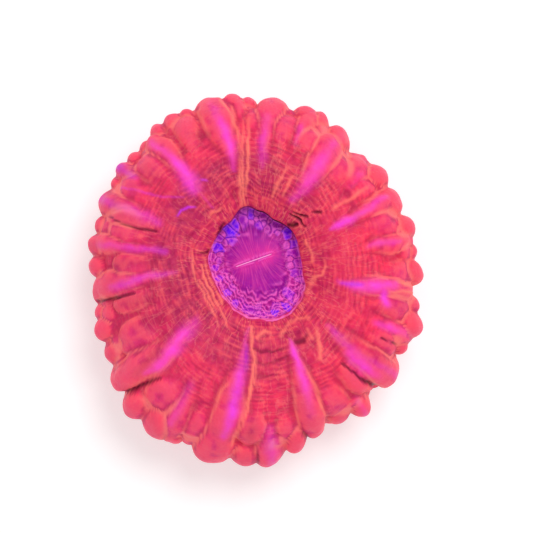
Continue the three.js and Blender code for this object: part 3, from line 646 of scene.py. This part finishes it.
# The oral disc: pads inside its edge, ruffles on the near side and fibres that fan out from the mouth.
# Returns how far the skin stands out there, and what the material reads.
def shapeDisc(skin, rng):
    radius, turn, spot, where = skin.radius, skin.turn, skin.spot, skin.where
    lipSide = smooth(0.3 + 1.2 * np.cos((turn - polyp["lipFacing"]) * degree))
    onDisc = 1 - smooth((spot - 3.0 - 0.5 * (1 - lipSide)) / 0.5)
    discEdge = roundTheCompass(polyp["discOutline"], turn)
    inset = discEdge - radius

    nearest, following, blue = packPads(skin, rng)
    inBand = smooth((radius - discEdge + polyp["discRingDepth"]) / 1.2) * smooth((2.0 - nearest) / 0.5)
    between = following - nearest

    # Where a point lies from the mouth: along and across the slit, how far out, and which way
    mouth = polyp["mouth"]
    slit, half = mouth["turn"] * degree, mouth["halfLength"]
    fromX, fromY = skin.flatX - mouth["centre"][0], skin.flatY - mouth["centre"][1]
    mx = fromX * math.cos(slit) + fromY * math.sin(slit)
    my = fromY * math.cos(slit) - fromX * math.sin(slit)
    fan = np.arccosh((mx + 1j * (my + 1e-4)) / half)
    outward, way = fan.real, fan.imag
    onSlit = bell(my, 0.22) * window(mx, -half, half, 0.8)
    lipsOfMouth = bell(np.abs(my) - 0.55, 0.35) * window(mx, -half - 0.3, half + 0.3, 1.2)

    bends = 0.22 * np.sin(turn * degree * 23) + 1.0 * lumps(where, 2.6, 22) + 0.2 * lumps(where, 0.9, 24)
    wavy = np.sin(2 * math.pi * (inset / polyp["ruffleSpacing"] + bends))
    ruffleReach = 4.6 + 2.4 * window(turn, 245, 312, 16)  # mm in from the disc's edge
    onWavy = window(turn, *polyp["ruffledSide"], 24) * window(inset, 0.6, ruffleReach, 1.3)
    # A painted highlight along the lip's edge, with a thinner second line 1 mm inside it
    rimLine = radius - discEdge * 1.03 + 0.35 * lumps(where, 1.8, 27) + 0.2 * lumps(where, 0.8, 21)
    rimShows = np.maximum(window(turn, 155, 345, 14), 0.6 * window(turnBetween(turn, 0), -22, 36, 14))
    pinkRim = (bell(rimLine, 0.24) + 0.7 * bell(rimLine + 1.0, 0.16)) * rimShows
    pinkRim = pinkRim * np.clip(0.9 + 0.7 * lumps(where, 1.4, 30), 0, 1)

    # How far the skin stands out, in mm
    padRise = smooth(between / 0.9) * inBand
    relief = polyp["padHeight"] * padRise * (1 - 0.7 * onWavy)
    relief = relief - mouth["depth"] * onSlit + mouth["lipHeight"] * lipsOfMouth
    relief = relief + polyp["ruffleHeight"] * wavy * onWavy
    relief = relief + 0.3 * lumps(where, 1.3, 23) * smooth((radius - 6) / 2)

    wallFrom = 3.18 - 0.12 * window(turn, 35, 90, 20)  # where the painted shade under the lip starts: it is widest on the far right
    onMantle = spot > spotOfGutter + 0.5
    glow = bell(outward, 0.58) * (0.85 + 0.3 * lumps(where, 3.2, 37))
    nearSide = 0.45 + 0.55 * window(turn, 170, 350, 40)
    painted = {
        "disc": onDisc,
        # painted shade where the lip overhangs the disc
        "wall": window(spot, wallFrom, 4.98, 0.1) * smooth(1.4 * np.cos((turn - 92) * degree) - 0.1),
        "pinkRim": pinkRim * (spot < 5),
        "blue": blue * inBand * smooth((1.7 - nearest) / 0.4),
        "padGap": bell(between, 0.22) * inBand,
        "padEdge": bell(between - 0.5, 0.25) * inBand,
        "glow": np.clip(glow + 0.55 * bell(np.hypot(mx - 5.6, my - 1.2), 2.6), 0, 1),
        "iris": window(outward, 0.1, 1.5, 0.4),
        "ruffled": smooth((radius - discEdge + 5.5) / 1.5) * onDisc * nearSide,
        # a lilac patch at the top of the disc: partly the pads' own colour, partly painted light that lifts
        # the shade under the lip
        "lilac": bell(np.hypot(skin.flatX + 2.6, skin.flatY - 13.9), 2.4) * onDisc,
        "wavy": np.maximum(0, wavy) ** 2.5 * onWavy * np.clip(0.7 + lumps(where, 1.8, 25), 0, 1),
        # a flat chart of the skin in mm, so that fine lines can run with the pleats or with the rings
        "chartX": np.where(onMantle, 20 * np.cos(skin.arc), 11 * np.cos(way)),
        "chartY": np.where(onMantle, 20 * np.sin(skin.arc), 11 * np.sin(way)),
        "chartZ": np.where(onMantle, skin.along, outward * 8),
    }
    return relief * onDisc, painted


def makePolyp():
    skin = layOutSkin()
    rng = np.random.default_rng(polyp["seed"])
    radius, turn, along, spot, where = skin.radius, skin.turn, skin.along, skin.spot, skin.where

    onSkin = window(spot, spotOfLip + 0.4, spotOfLastBulb, 0.8)
    sides = smooth((spot - 13.2) / 1.6)  # the creases are softer down the sides
    swell, second, edgeHighlight, core = (
        onSkin * (values * 0.7 * (1 - sides) + softened(values.copy(), 1) * (0.3 * (1 - sides) + sides))
        for values in growSwellings(skin, rng)
    )
    fold = bell(swell - second, 0.3) * smooth((second - 0.7) / 1.2)  # where two swellings meet
    # painted shade in the folds where two swellings meet, down the sides only
    paintedFoldShade = fold * smooth((spot - 12.6) / 1.2)
    # painted highlights along the creases where two swellings meet and along each swelling's edge
    creaseHighlight = 0.9 * bell(swell - second - 0.2, 0.42) * smooth((second - 0.35) / 0.6)
    edgeHighlight = np.maximum(edgeHighlight, creaseHighlight) * (1 - 0.75 * sides) * (1 - 0.7 * paintedFoldShade)
    rising = smooth(swell / 1.5)

    # Fine relief of the crown: rings, pleats that fade from the lip, and the drawn folds and cuts
    onCrown = window(spot, spotOfLip + 0.2, spotOfRim + 1, 1.5)
    drift = lumps(where, 6.0, 5) * 0.9 + lumps(where, 2.0, 6) * 0.3
    patchy = np.clip(0.5 + 0.9 * lumps(where, 4.0, 8), 0, 1)
    ring = np.sin(2 * math.pi * (along / polyp["ringSpacing"] + drift))
    spread = polyp["pleats"] / (4 * math.pi)
    fanned = np.stack([spread * np.cos(skin.arc), spread * np.sin(skin.arc), along / 4.5], axis=-1)
    pleat = 1 - 2 * np.abs(lumps(fanned, 1.0, 9) + 0.35 * lumps(fanned, 0.45, 10))
    nearLip = np.exp(-np.maximum(0, along) / (7.0 + 3.0 * lumps(where, 9.0, 13))) * smooth((spot - 4.6) / 1.2)
    drawn = drawStrokes(skin)
    drawn["folds"] = drawn["folds"] * (0.55 + 0.45 * patchy)
    swell = swell - polyp["creaseDepth"] * fold + polyp["foldHeight"] * drawn["folds"]
    swell = swell - polyp["cutDepth"] * drawn["cuts"] * smooth(along / 3 + 0.3)
    swell = swell + polyp["ringHeight"] * ring * onCrown * patchy * (1 - rising)
    swell = swell + polyp["pleatHeight"] * pleat * nearLip * (1 - 0.7 * rising)
    swell = swell + (0.25 * lumps(where, 2.4, 11) + 0.5 * lumps(where, 7.0, 12)) * onCrown
    offSeat = smooth((spotOfLastBulb - spot) / 2)
    swell = swell + 0.1 * lumps(where, 1.2, 29) * smooth((spot - 5) / 1.5) * offSeat
    relief, paintedDisc = shapeDisc(skin, rng)
    swell = swell + relief
    proud = swell - softened(swell.copy(), 10)  # what stands out of its surroundings: painted highlight on it, painted shade in the hollows

    seatFlat = spot >= spotOfSeat
    swell = np.where(seatFlat, 0, swell)
    finalR = radius + skin.outR * swell
    finalZ = np.where(seatFlat, polyp["seatHeight"], skin.height + skin.outZ * swell)
    cx, cy = polyp["discCentre"]
    rings = np.stack([cx + finalR * np.cos(skin.arc), cy + finalR * np.sin(skin.arc), finalZ], axis=-1)
    piece = closedSkin("polyp_flesh", (cx, cy, rings[0, :, 2].mean()), rings, (cx, cy, polyp["seatHeight"]))

    # Painted shade over the middle of the crown between the lobes, deepest on the left
    dusk = window(along, 2.5, 15, 6) * (1 - core) * np.clip(0.8 + 0.9 * lumps(where, 7.0, 28), 0, 1)
    painted = {
        **drawn,
        # painted highlight on ridges and painted shade in hollows
        "ridge": smooth(proud / 0.14) * (1 - 0.4 * sides),
        "valley": smooth(-proud / 0.14) * (1 - 0.9 * edgeHighlight) * (1 - 0.2 * sides),
        # painted highlight along the swellings' edges
        "edgeHighlight": edgeHighlight,
        "core": core,
        # painted shade in the folds down the sides
        "fold": paintedFoldShade,
        "ring": np.maximum(0, ring) * onCrown * patchy * (1 - 0.6 * rising),
        "pleat": np.clip(pleat, 0, 1) ** 3 * nearLip,
        "nearLip": nearLip,
        "crown": onCrown * (1 - 0.6 * rising) * np.clip(0.55 + 0.9 * lumps(where, 7.0, 34), 0.1, 1),
        "outward": np.maximum(0, along) / 30,
        "dusk": dusk * (0.7 + 0.5 * np.cos((turn - 165) * degree)),
        "warm": 0.5 + 0.5 * np.cos((turn - 20) * degree),
        # painted shade down the sides below the rim
        "underside": smooth((spot - 14.3) / 2.5),
        **paintedDisc,
    }
    for name, values in painted.items():
        topValue = 1.0 if name in ("disc", "glow") else 0.0
        keepOnPoints(piece, name, np.broadcast_to(values, radius.shape), topValue)
    return piece, list(painted)


# Materials

fleshLook = {
    # Noise: (along the object or the flat chart of the skin, stretch, size in mm, detail, low, high).
    # The real grain and fibres are finer than this, which is drawn as coarse as it needs to show.
    "patterns": {
        "mottle": ("object", (1, 1, 1), 5.0, 5, 0.44, 0.66),
        "bloom": ("object", (1, 1, 1), 10.0, 3, 0.40, 0.62),
        "blush": ("object", (1, 1, 1), 2.6, 4, 0.48, 0.70),
        "grain": ("object", (1, 1, 1), 0.6, 3, 0.30, 0.70),
        "crinkleLines": ("chart", (1, 1, 0.22), 1.5, 3, 0.035, 0.0),
        "hoopLines": ("chart", (0.22, 0.22, 1), 1.7, 3, 0.035, 0.0),
        "fibres": ("chart", (1, 1, 0.1), 0.6, 2, 0.48, 0.64),
        "ruffleLines": ("object", (1, 1, 0.3), 1.5, 2, 0.045, 0.0),
    },
    "crownBase": "#CC2A54",
    "crown": [
        ("bloom", 0.4, "#E62C54"),
        ("outward", 0.6, "#F23060"),
        ("warm", 0.3, "#F82838"),
        ("warm outward", 0.3, "#F42430"),
        # painted shade over the middle of the crown
        ("dusk", 0.8, "#9A1648"),
        ("nearLip", 0.6, "#AC1854"),
        ("mottle", 0.4, "#980C4C"),
        ("blush", 0.3, "#FF4A58"),
        ("core", 0.45, "#C62C78"),
        ("ring", 0.12, "#FF605C"),
        ("grain", 0.12, "#F0509C"),
        ("dusky", 0.8, "#9A1446"),
        ("hoopLines crown", 0.16, "#FF9484"),
        ("crinkleLines crown", 0.16, "#FF948C"),
        ("crinkleLines nearLip", 0.5, "#FF8878"),
        ("pleat", 0.35, "#FF685E"),
        # painted shade in hollows and painted highlight on ridges
        ("valley", 0.35, "#780A38"),
        ("ridge", 0.35, "#FF6468"),
        # painted highlight along the swellings' edges
        ("edgeHighlight", 0.68, "#FF8478"),
        ("folds", 0.8, "#FF8670"),
    ],
    "streakPink": "#FB46C4",
    "streakViolet": "#B428E6",
    "shade": [
        # painted shade in the folds, in the cuts and down the sides under the rim
        ("fold", 0.7, "#8A0C30"),
        ("cuts", 0.9, "#3A0414"),
        ("underside", 0.6, "#96183F"),
    ],
    "discBase": "#940C90",
    "disc": [
        ("mottle", 0.45, "#C0249C"),
        ("glow", 0.7, "#F4389C"),
        ("blush", 0.3, "#78089C"),
        ("fibres iris", 0.25, "#FC5CB4"),
        ("ruffled", 0.35, "#C82C80"),
        # partly the pads' own lilac, partly painted light under the lip
        ("lilac", 0.6, "#C43CD4"),
        ("wavy", 0.55, "#FF62C0"),
        ("blue", 0.9, "#5C04FF"),
        ("padEdge", 0.35, "#F86CDC"),
        # painted highlight on ridges and painted shade in hollows
        ("ridge", 0.4, "#FF70D8"),
        ("valley", 0.35, "#560474"),
        ("padGap", 0.15, "#560474"),
        ("ruffleLines ruffled", 0.5, "#FF78D8"),
    ],
    "lip": [
        # painted shade under the lip's overhang
        ("wall", 0.9, "#2A0424"),
        # painted highlight along the lip's edge
        ("pinkRim", 1.0, "#FF80CC"),
    ],
    "mouthLine": "#F8A0DC",
    "mouthLineFades": ((4.7, 5.2), (0.05, 0.2)),  # mm from the mouth's middle, along and across the slit
    "relief": [("crinkleLines", "nearLip", 1.2), ("hoopLines", "crown", 0.8), ("fibres", "iris", 0.8)],
    "bump": {"Strength": 0.45, "Distance": 0.2 * mm},
    "roughness": {"To Min": 0.36, "To Max": 0.5},  # from clear skin to mottled
    "shader": {
        "IOR": 1.38,  # water-rich tissue
        "Subsurface Weight": 0.12,
        "Subsurface Radius": (1.0, 0.35, 0.4),
        "Subsurface Scale": 0.8 * mm,
        "Specular IOR Level": 0.14,
        "Coat Weight": 0.03,  # the wet film
        "Coat Roughness": 0.25,
        "Coat IOR": 1.33,
        "Emission Strength": 0.24,  # a painted glow of the flesh's own colour, standing in for fluorescence and lifting its shade
    },
}


# Wet living coral tissue, swollen with water: light sinks in and glows back pink over fine wrinkles
def makeSwollenFlesh(attributes):
    look = fleshLook
    material, tree = startMaterial("swollenCoralFlesh")
    sources = {
        name: addNode(tree, "Attribute", {"attribute_name": name}).outputs["Fac"]
        for name in attributes
    }
    objectPlace = addNode(tree, "TexCoord").outputs["Object"]
    chart = addNode(tree, "CombineXYZ", X=sources["chartX"], Y=sources["chartY"], Z=sources["chartZ"])
    metres = addNode(tree, "VectorMath", {"operation": "SCALE", "Scale": mm}, in0=chart.outputs[0])
    coordinates = {"object": objectPlace, "chart": metres.outputs[0]}
    sources.update(addPatterns(tree, coordinates, look["patterns"]))
    flesh = layColours(tree, sources, look["crownBase"], look["crown"])

    # Streaks run from pink to violet and break up with the mottling
    divide = {"operation": "DIVIDE", "use_clamp": True}
    multiply = {"operation": "MULTIPLY", "use_clamp": True}
    spread = addNode(tree, "Math", {"operation": "ADD", 1: 0.02}, in0=sources["streak"])
    hue = addNode(tree, "Math", divide, in0=sources["violet"], in1=spread.outputs[0])
    pink, violet = linearColour(look["streakPink"]), linearColour(look["streakViolet"])
    streakColour = addNode(tree, "Mix", {"data_type": "RGBA", 6: pink, 7: violet}, in0=hue.outputs[0])
    broken = addNode(tree, "MapRange", {"To Min": 1.0, "To Max": 0.6}, in0=sources["mottle"])
    share = addNode(tree, "Math", multiply, in0=sources["streak"], in1=broken.outputs[0])
    streaked = addNode(
        tree, "Mix", {"data_type": "RGBA"}, in0=share.outputs[0], in6=flesh, in7=streakColour.outputs[2],
    )
    flesh = layColours(tree, sources, streaked.outputs[2], look["shade"])

    # The disc, with the mouth's pale line across it at the mouth's own turn
    disc = layColours(tree, sources, look["discBase"], look["disc"])
    mouth = polyp["mouth"]
    cx, cy = (centre + offset for centre, offset in zip(polyp["discCentre"], mouth["centre"]))
    slit = {
        "vector_type": "TEXTURE",
        "Location": (cx * mm, cy * mm, 0),
        "Rotation": (0, 0, mouth["turn"] * degree),
    }
    apart = addNode(tree, "SeparateXYZ", in0=addNode(tree, "Mapping", slit, Vector=objectPlace).outputs[0])
    shares = []
    for axis, (inside, outside) in enumerate(look["mouthLineFades"]):
        away = addNode(tree, "Math", {"operation": "ABSOLUTE"}, in0=apart.outputs[axis])
        fade = {"From Min": inside * mm, "From Max": outside * mm, "To Min": 1.0, "To Max": 0.0}
        shares.append(addNode(tree, "MapRange", fade, in0=away.outputs[0]).outputs[0])
    line = addNode(tree, "Math", {"operation": "MULTIPLY"}, in0=shares[0], in1=shares[1])
    paleLine = {"data_type": "RGBA", 7: linearColour(look["mouthLine"])}
    disc = addNode(tree, "Mix", paleLine, in0=line.outputs[0], in6=disc).outputs[2]
    whole = addNode(tree, "Mix", {"data_type": "RGBA"}, in0=sources["disc"], in6=flesh, in7=disc)
    colour = layColours(tree, sources, whole.outputs[2], look["lip"])

    relief = sources["grain"]
    for name, place, weight in look["relief"]:
        lines = addNode(tree, "Math", {"operation": "MULTIPLY"}, in0=sources[name], in1=sources[place])
        weighted = {"operation": "MULTIPLY_ADD", 1: weight}
        relief = addNode(tree, "Math", weighted, in0=lines.outputs[0], in2=relief).outputs[0]
    bump = addNode(tree, "Bump", look["bump"], Height=relief)
    roughness = addNode(tree, "MapRange", look["roughness"], in0=sources["mottle"])
    shader = addNode(
        tree, "BsdfPrincipled", look["shader"],
        Base_Color=colour, Roughness=roughness.outputs[0], Normal=bump.outputs[0], Emission_Color=colour,
    )
    addNode(tree, "OutputMaterial", Surface=shader.outputs[0])
    return material


stoneLook = {
    # Noise, as for the flesh. Real pores are finer and are drawn as coarse as they need to show.
    "patterns": {
        "pores": ("object", (1, 1, 1), 0.8, 5, 0.42, 0.62),
        "stain": ("object", (1, 1, 1), 6.0, 4, 0.45, 0.62),
        "crust": ("object", (1, 1, 1), 7.5, 4, 0.52, 0.60),
    },
    "base": "#E4DAC6",
    "layers": [
        ("stain", 0.5, "#C2AE92"),
        ("pores", 0.65, "#A28E74"),
        ("crust", 0.6, "#B9748C"),
    ],
    "bump": {"Strength": 0.7, "Distance": 0.4 * mm, "invert": True},
    "shader": {"Roughness": 0.88, "IOR": 1.53},
}


# Matt stony skeleton laid down by the polyp: chalky cream, pitted, with a thin pink crust in patches
def makePorousAragonite():
    look = stoneLook
    material, tree = startMaterial("porousAragonite")
    sources = addPatterns(tree, {"object": addNode(tree, "TexCoord").outputs["Object"]}, look["patterns"])
    colour = layColours(tree, sources, look["base"], look["layers"])
    bump = addNode(tree, "Bump", look["bump"], Height=sources["pores"])
    shader = addNode(tree, "BsdfPrincipled", look["shader"], Base_Color=colour, Normal=bump.outputs[0])
    addNode(tree, "OutputMaterial", Surface=shader.outputs[0])
    return material


# The stony foot: ribs run down to the cut, which is flat

foot = {
    "columns": 384,
    "rows": 36,
    "topRadius": 20.2,
    "neckRadius": 17.8,
    "baseRadius": 18.6,
    "ribs": 48,
    "ribHeight": 1.1,
    "ribInset": 0.7,  # how far the grooves lie inside those radii
    "ribBend": 0.5,
}


def makeFoot():
    topZ = footBox[1][2] / mm
    angles = np.arange(foot["columns"]) * 360 / foot["columns"]
    share = np.linspace(0, 1, foot["rows"])[:, None]
    radius = foot["neckRadius"] + (foot["topRadius"] - foot["neckRadius"]) * smooth(1 - share * 1.25)
    radius = radius + (foot["baseRadius"] - foot["neckRadius"]) * smooth((share - 0.8) * 5)
    radius = np.broadcast_to(radius, (foot["rows"], foot["columns"]))
    arc = np.broadcast_to(angles * degree, radius.shape)
    height = np.broadcast_to(topZ * (1 - share), radius.shape)
    where = np.stack([radius * np.cos(arc), radius * np.sin(arc), height], axis=-1)
    rib = np.abs(np.cos(arc * foot["ribs"] / 2 + foot["ribBend"] * lumps(where, 6.0, 31))) ** 0.7
    alternate = 0.75 + 0.25 * np.cos(arc * foot["ribs"] / 2)
    rough = 0.22 * lumps(where, 1.3, 32) + 0.3 * lumps(where, 3.0, 33)
    radius = radius - foot["ribInset"] + foot["ribHeight"] * rib * alternate + rough
    rings = np.stack([radius * np.cos(arc), radius * np.sin(arc), height], axis=-1)
    return closedSkin("foot_stone", (0, 0, topZ), rings, (0, 0, 0))


polypPiece, attributeNames = makePolyp()
polypPiece.data.materials.append(makeSwollenFlesh(attributeNames))
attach(polypPiece, "root")
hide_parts("polyp")
print("polyp grown:", len(polypPiece.data.polygons), "faces")

footPiece = makeFoot()
footPiece.data.materials.append(makePorousAragonite())
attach(footPiece, "root")
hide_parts("stony_foot")
print("foot made:", len(footPiece.data.polygons), "faces")


# Stage, light and camera

# Sizes and places are in metres
stage = {
    "floorSize": 3.0,
    "floorColour": "#DEDEDE",
    "floorGlow": 0.42,
    "skyStrength": 0.58,
    "keyPlace": (0.20, 0.28, 0.76),
    "keyAim": (0, 0, 0.02),
    "keySize": 0.36,
    "keyPower": 2.9,  # watts
}


def makeStage():
    mesh = bpy.data.meshes.new("table")
    half = stage["floorSize"] / 2
    corners = [(-half, -half, 0), (half, -half, 0), (half, half, 0), (-half, half, 0)]
    mesh.from_pydata(corners, [], [(0, 1, 2, 3)])
    table = placeInScene("table", mesh)
    paint = bpy.data.materials.new("paleMattPaint")
    paint.use_nodes = True
    shader = paint.node_tree.nodes["Principled BSDF"]
    shader.inputs["Base Color"].default_value = linearColour(stage["floorColour"])
    shader.inputs["Roughness"].default_value = 0.9
    shader.inputs["Emission Color"].default_value = (1, 1, 1, 1)
    shader.inputs["Emission Strength"].default_value = stage["floorGlow"]
    table.data.materials.append(paint)
    world = bpy.data.worlds.new("studio")
    world.use_nodes = True
    world.node_tree.nodes["Background"].inputs["Color"].default_value = (1, 1, 1, 1)
    world.node_tree.nodes["Background"].inputs["Strength"].default_value = stage["skyStrength"]
    bpy.context.scene.world = world


def addKeyLight():
    light = bpy.data.lights.new("key", "AREA")
    light.shape = "DISK"
    light.size = stage["keySize"]
    light.energy = stage["keyPower"]
    place, aim = Vector(stage["keyPlace"]), Vector(stage["keyAim"])
    lamp = placeInScene("key", light)
    lamp.location = place
    lamp.rotation_euler = (aim - place).to_track_quat("-Z", "Y").to_euler()


view = {
    "elevation": 88,
    "lens": 120,
    "sensor": 36,
    "frameWidth": 143.1 * mm,  # what the picture spans at the coral's mid height
    "aim": (2.6 * mm, 1.95 * mm, 20 * mm),  # the coral sits a little left of and below the picture's middle
}


def makeCamera():
    camera = bpy.data.cameras.new("camera")
    camera.lens = view["lens"]
    camera.sensor_width = view["sensor"]
    distance = view["frameWidth"] * view["lens"] / view["sensor"]
    tilt = view["elevation"] * degree
    aim = Vector(view["aim"])
    lookFrom = aim + distance * Vector((0, -math.cos(tilt), math.sin(tilt)))
    eye = placeInScene("camera", camera)
    eye.location = lookFrom
    eye.rotation_euler = (aim - lookFrom).to_track_quat("-Z", "Y").to_euler()
    bpy.context.scene.camera = eye


makeStage()
addKeyLight()
makeCamera()
bpy.context.scene.view_settings.view_transform = "Standard"
print("stage, lights and camera set")
